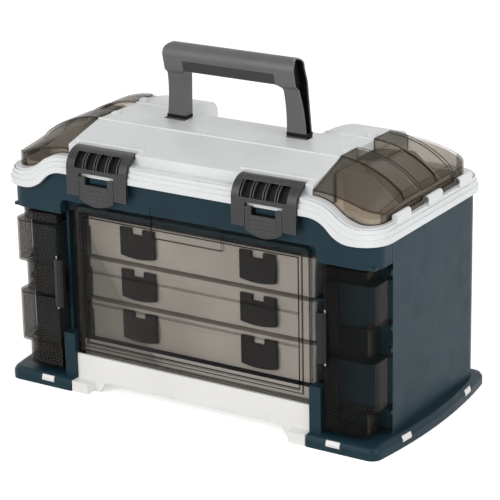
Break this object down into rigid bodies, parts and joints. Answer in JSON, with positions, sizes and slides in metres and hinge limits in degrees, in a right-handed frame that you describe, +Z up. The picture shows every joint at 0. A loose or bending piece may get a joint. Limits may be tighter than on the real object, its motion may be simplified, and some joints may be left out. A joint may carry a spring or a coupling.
{
  "type": "tackle cabinet",
  "caption": "Free-standing tackle cabinet with a hinged lid, folding handle, smoked end covers, drop-down front door over utility boxes, and swing-out corner racks.",
  "frame": {"origin": "ground level under the middle of the cabinet, halfway between its foremost and rearmost points", "axes": "+X to the cabinet's right as seen from the front, +Y towards its back, +Z up"},
  "size_m": [0.559, 0.294, 0.4375],
  "materials": {
    "case_green": "fine satin texture, dark blue-green",
    "base_white": "satin",
    "lid_silver": "satin silver-grey",
    "trim_grey": "satin",
    "trim_charcoal": "satin",
    "trim_dark": "matt",
    "smoked_clear": "smooth clear smoke tint",
    "box_clear": "smooth clear",
    "tray_pale": "satin",
    "pin_steel": "plain"
  },
  "bodies": {
    "cabinet": {"case_shell": "case_green", "case_foot": "case_green", "base_tray": "base_white", "lid_hinge_pins": "pin_steel", "box_tray_1": "box_clear", "box_lid_1": "box_clear", "box_dividers_1": "box_clear", "box_latches_1": "trim_dark", "box_tray_2": "box_clear", "box_lid_2": "box_clear", "box_dividers_2": "box_clear", "box_latches_2": "trim_dark", "box_tray_3": "box_clear", "box_lid_3": "box_clear", "box_dividers_3": "box_clear", "box_latches_3": "trim_dark"},
    "lid": {"lid_shell": "lid_silver", "handle_pins": "pin_steel", "latch_pin_right": "pin_steel", "latch_pin_left": "pin_steel", "end_lid_pin_right": "pin_steel", "end_lid_pin_left": "pin_steel", "end_tray_right": "tray_pale", "end_tray_left": "tray_pale"},
    "handle": {"handle_bow": "trim_grey", "grip_strip": "trim_charcoal"},
    "door": {"front_door": "smoked_clear"},
    "end_cover_right": {"end_lid_right": "smoked_clear"},
    "latch_right": {"latch_frame_right": "trim_charcoal", "lever_pins_right": "pin_steel"},
    "lever_right": {"latch_lever_right": "trim_charcoal"},
    "corner_rack_right": {"rack_right": "smoked_clear", "pull_pin_right": "pin_steel"},
    "pull_right": {"rack_pull_right": "trim_dark"},
    "end_cover_left": {"end_lid_left": "smoked_clear"},
    "latch_left": {"latch_frame_left": "trim_charcoal", "lever_pins_left": "pin_steel"},
    "lever_left": {"latch_lever_left": "trim_charcoal"},
    "corner_rack_left": {"rack_left": "smoked_clear", "pull_pin_left": "pin_steel"},
    "pull_left": {"rack_pull_left": "trim_dark"}
  },
  "joints": [
    {"name": "lid_hinge", "type": "hinge", "parent": "cabinet", "child": "lid", "pos_m": [0, 0.142, 0.262], "axis": [-1, 0, 0], "range_deg": [0, 100]},
    {"name": "handle_fold", "type": "hinge", "parent": "lid", "child": "handle", "pos_m": [0, -0.006, 0.331], "axis": [-1, 0, 0], "range_deg": [0, 90]},
    {"name": "door_hinge", "type": "hinge", "parent": "cabinet", "child": "door", "pos_m": [0, -0.123, 0.058], "axis": [1, 0, 0], "range_deg": [0, 95]},
    {"name": "end_cover_right_hinge", "type": "hinge", "parent": "lid", "child": "end_cover_right", "pos_m": [0.265, 0, 0.288], "axis": [0, 1, 0], "range_deg": [0, 100]},
    {"name": "latch_right_hinge", "type": "hinge", "parent": "lid", "child": "latch_right", "pos_m": [0.1192, -0.1195, 0.3185], "axis": [-1, 0, 0], "range_deg": [0, 100]},
    {"name": "lever_right_pivot", "type": "hinge", "parent": "latch_right", "child": "lever_right", "pos_m": [0.1192, -0.14375, 0.2865], "axis": [-1, 0, 0], "range_deg": [0, 45]},
    {"name": "corner_rack_right_hinge", "type": "hinge", "parent": "cabinet", "child": "corner_rack_right", "pos_m": [0.2605, -0.096, 0.125], "axis": [0, 0, 1], "range_deg": [0, 100]},
    {"name": "pull_right_pivot", "type": "hinge", "parent": "corner_rack_right", "child": "pull_right", "pos_m": [0.1941, -0.1334, 0.1395], "axis": [0, 0, 1], "range_deg": [0, 25]},
    {"name": "end_cover_left_hinge", "type": "hinge", "parent": "lid", "child": "end_cover_left", "pos_m": [-0.265, 0, 0.288], "axis": [0, -1, 0], "range_deg": [0, 100]},
    {"name": "latch_left_hinge", "type": "hinge", "parent": "lid", "child": "latch_left", "pos_m": [-0.1192, -0.1195, 0.3185], "axis": [-1, 0, 0], "range_deg": [0, 100]},
    {"name": "lever_left_pivot", "type": "hinge", "parent": "latch_left", "child": "lever_left", "pos_m": [-0.1192, -0.14375, 0.2865], "axis": [-1, 0, 0], "range_deg": [0, 45]},
    {"name": "corner_rack_left_hinge", "type": "hinge", "parent": "cabinet", "child": "corner_rack_left", "pos_m": [-0.2605, -0.096, 0.125], "axis": [0, 0, -1], "range_deg": [0, 100]},
    {"name": "pull_left_pivot", "type": "hinge", "parent": "corner_rack_left", "child": "pull_left", "pos_m": [-0.1941, -0.1334, 0.1395], "axis": [0, 0, -1], "range_deg": [0, 25]}
  ]
}
